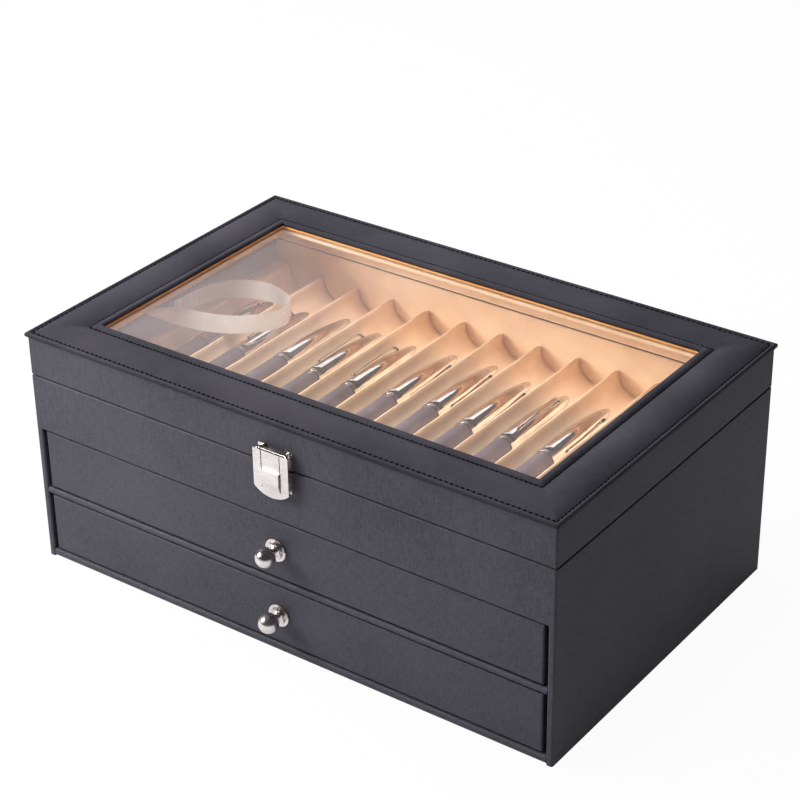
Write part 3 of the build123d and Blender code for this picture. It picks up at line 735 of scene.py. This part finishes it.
def make_pens():
    caps, rings, barrels, clips = Builder(), Builder(), Builder(), Builder()
    for place, turn in zip(pen_places(), CLIP_TURNS):
        caps.turned(cap_profile(), place, PEN_SIDES)
        rings.turned(ring_profile(), place, PEN_SIDES)
        barrels.turned(barrel_profile(), place, PEN_SIDES)
        make_clip(clips, place @ Matrix.Rotation(math.radians(turn), 4, "Y"))
    made = [(caps, "pen_caps_polished", chrome, "pen_caps", "pen_chrome"),
            (rings, "pen_rings_polished", chrome, "pen_cap_rings", "pen_chrome"),
            (barrels, "pen_barrels_lacquered", lacquer_finish, "pen_barrels", "pen_barrel"),
            (clips, "pen_clips_polished", chrome, "pen_clips", "pen_chrome")]
    for builder, name, finish, node, slot in made:
        piece = builder.make(name, finish)
        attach(piece, "case")
        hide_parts(node)


# ---------------------------------------------------------------- ribbon stay
RIBBON_WIDTH = 11 * MM
RIBBON_STEPS = 12             # between two of the points below
# Middle line in millimetres, from the lid's wall round the loop to the case's wall,
# with the lean of its width
RIBBON_LINE = [
    (-166, -13, 117.6, (0.25, 1.0, 0.0)), (-158, -8, 115.4, (0.25, 0.9, 0.35)),
    (-149, -2, 112.6, (0.2, 0.55, 0.8)), (-137, 4.5, 110.2, (0.1, 0.42, 0.9)),
    (-123, 12.5, 109.6, (0.05, 0.42, 0.9)), (-112, 24, 109.5, (-0.1, 0.15, 1.0)),
    (-107.5, 36, 109.6, (-0.1, 0.0, 1.0)), (-112, 47, 109.8, (0.05, 0.05, 1.0)),
    (-124, 53, 110.0, (0.0, 0.05, 1.0)), (-137, 53.5, 110.2, (0.0, 0.3, 0.95)),
    (-150, 48.5, 110.2, (-0.2, 0.15, 1.0)), (-160, 37, 110.0, (-0.1, 0.0, 1.0)),
    (-164.2, 24, 109.8, (0.0, 0.0, 1.0)), (-164.8, 12, 109.8, (0.0, 0.0, 1.0)),
    (-165.4, 6, 109.8, (0.0, 0.0, 1.0)),
]


def spline(values, place):
    """Catmull-Rom through tuples of numbers."""
    last = len(values) - 1
    index = min(int(place), last - 1)
    share = place - index
    a, b, c, d = (values[min(max(index + offset, 0), last)] for offset in (-1, 0, 1, 2))
    out = []
    for p, q, r, s in zip(a, b, c, d):
        out.append(0.5 * (2 * q + (r - p) * share + (2 * p - 5 * q + 4 * r - s) * share ** 2
                          + (3 * q - p - 3 * r + s) * share ** 3))
    return out


def make_ribbon():
    """The ribbon loop that stops the lid, as one sheet seven points wide."""
    flat = [(x, y, z) + lean for x, y, z, lean in RIBBON_LINE]
    steps = RIBBON_STEPS * (len(flat) - 1)
    rows = []
    for step in range(steps + 1):
        x, y, z, lean_x, lean_y, lean_z = spline(flat, step / RIBBON_STEPS)
        middle = Vector((x, y, z)) * MM
        lean = Vector((lean_x, lean_y, lean_z)).normalized()
        rows.append([middle + lean * RIBBON_WIDTH * (share / 6 - 0.5) for share in range(7)])
    builder = Builder()
    builder.strip(rows)
    ribbon = builder.make("ribbon_stay_satin", satin_finish)
    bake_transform(ribbon)
    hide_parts("ribbon_stay")


# ---------------------------------------------------------------- stage, light and camera
FLOOR_HALF = 4.0              # metres
FLOOR_WHITE = 0.95            # share of plain white in the floor as it is seen
MIRROR_LEFT = 0.45            # the same share as metal and leather mirror it, to the left of the object
MIRROR_RIGHT = 0.05           # and to its right
MIRROR_SPAN = (-0.1, 0.5)     # x where it starts and stops falling


def make_floor():
    """Pale floor that is nearly white to the camera and keeps the object's shadow."""
    finish = Finish("floor", 0.9, specular=0.0)
    nodes, links = finish.nodes, finish.links
    finish.colour(finish.noise(3.0), (0.3, srgb(186, 186, 192)), (0.7, srgb(192, 192, 197)))
    glow = nodes.new("ShaderNodeEmission")
    glow.inputs["Color"].default_value = (1.0, 1.0, 1.0, 1.0)
    path = nodes.new("ShaderNodeLightPath")
    seen = finish.joined("ADD", path.outputs["Is Camera Ray"], path.outputs["Is Transmission Ray"])
    seen = finish.joined("MULTIPLY", seen, FLOOR_WHITE)
    apart = nodes.new("ShaderNodeSeparateXYZ")
    links.new(finish.place, apart.inputs["Vector"])
    fall = finish.span(apart.outputs["X"], *MIRROR_SPAN, MIRROR_LEFT, MIRROR_RIGHT)
    mirrored = finish.joined("MULTIPLY", path.outputs["Is Glossy Ray"], fall)
    mix = nodes.new("ShaderNodeMixShader")
    links.new(finish.joined("MAXIMUM", seen, mirrored), mix.inputs["Fac"])
    links.new(finish.shader.outputs["BSDF"], mix.inputs[1])
    links.new(glow.outputs["Emission"], mix.inputs[2])
    links.new(mix.outputs["Shader"], nodes["Material Output"].inputs["Surface"])
    half = FLOOR_HALF
    floor = piece_from("floor", [(-half, -half, 0), (half, -half, 0), (half, half, 0), (-half, half, 0)],
                       [(0, 1, 2, 3)], finish.material)


WORLD_FILL = 0.055            # even light from all round


def make_world():
    """Faint even light, behind a white backdrop that the camera alone sees."""
    world = bpy.data.worlds.new("studio")
    bpy.context.scene.world = world
    world.use_nodes = True
    nodes, links = world.node_tree.nodes, world.node_tree.links
    fill = nodes["Background"]
    fill.inputs["Color"].default_value = (0.93, 0.95, 1.0, 1.0)
    fill.inputs["Strength"].default_value = WORLD_FILL
    backdrop = nodes.new("ShaderNodeBackground")
    backdrop.inputs["Color"].default_value = (1.0, 1.0, 1.0, 1.0)
    backdrop.inputs["Strength"].default_value = 1.0
    path = nodes.new("ShaderNodeLightPath")
    mix = nodes.new("ShaderNodeMixShader")
    links.new(path.outputs["Is Camera Ray"], mix.inputs["Fac"])
    links.new(fill.outputs["Background"], mix.inputs[1])
    links.new(backdrop.outputs["Background"], mix.inputs[2])
    links.new(mix.outputs["Shader"], nodes["World Output"].inputs["Surface"])


def softbox(name, position, target, size, power, mirrored):
    data = bpy.data.lights.new(name, "AREA")
    data.shape = "RECTANGLE"
    data.size, data.size_y = size
    data.energy = power
    lamp = bpy.data.objects.new(name, data)
    lamp.location = position
    lamp.visible_glossy = mirrored
    lamp.rotation_euler = (Vector(position) - Vector(target)).to_track_quat("Z", "Y").to_euler()
    bpy.context.scene.collection.objects.link(lamp)


# Softboxes, all turned to the middle of the chest: (name, place, size, watts, whether shiny pieces mirror it)
SOFTBOXES = [
    ("near_key", (-0.55, -0.50, 0.45), (0.35, 0.35), 4.7, True),
    ("high_key", (-0.75, -0.55, 0.85), (0.6, 0.6), 8.0, False),
    ("left", (-1.0, 0.0, 0.5), (0.6, 0.6), 16.0, False),
    ("over_front", (0.0, -0.4, 1.25), (0.5, 0.5), 5.0, False),
    ("top", (0.0, 0.0, 1.2), (0.8, 0.8), 11.0, False),
    ("back_left", (-0.75, 0.85, 0.75), (1.3, 0.9), 5.0, True),
]
CHEST_MIDDLE = (0.0, 0.0, 0.08)


def make_lights():
    for name, place, size, watts, mirrored in SOFTBOXES:
        softbox(name, place, CHEST_MIDDLE, size, watts, mirrored)


CAMERA_AZIMUTH = 36.23
CAMERA_ELEVATION = 29.49
CAMERA_ROLL = 0.92
CAMERA_PLACE = Vector((0.63644, -0.86726, 0.71320))
CAMERA_LENS = 101.97
SENSOR_WIDTH = 36.0


def make_camera():
    azimuth = math.radians(CAMERA_AZIMUTH)
    elevation = math.radians(CAMERA_ELEVATION)
    roll = math.radians(CAMERA_ROLL)
    back = Vector((math.sin(azimuth) * math.cos(elevation), -math.cos(azimuth) * math.cos(elevation),
                   math.sin(elevation)))
    level_right = (-back).cross(Vector((0, 0, 1))).normalized()
    level_down = (-back).cross(level_right)
    right = level_right * math.cos(roll) + level_down * math.sin(roll)
    down = level_down * math.cos(roll) - level_right * math.sin(roll)
    data = bpy.data.cameras.new("camera")
    data.sensor_width = SENSOR_WIDTH
    data.lens = CAMERA_LENS
    data.clip_end = 50.0
    camera = bpy.data.objects.new("camera", data)
    turn = Matrix((right, -down, back)).transposed().to_4x4()
    camera.matrix_world = Matrix.Translation(CAMERA_PLACE) @ turn
    bpy.context.scene.collection.objects.link(camera)
    bpy.context.scene.camera = camera


bpy.context.scene.view_settings.view_transform = "Standard"
dress_nodes()
make_cover()
make_stitches("outer_stitches", OUTER_STITCH)
make_stitches("inner_stitches", cover_width - INNER_STITCH)
make_tray("pen_tray", "case", 4.0 * MM)
for drawer in DRAWERS:
    make_tray(f"{drawer}_tray", drawer, 6.0 * MM)
make_pens()
make_ribbon()
make_floor()
make_world()
make_lights()
make_camera()
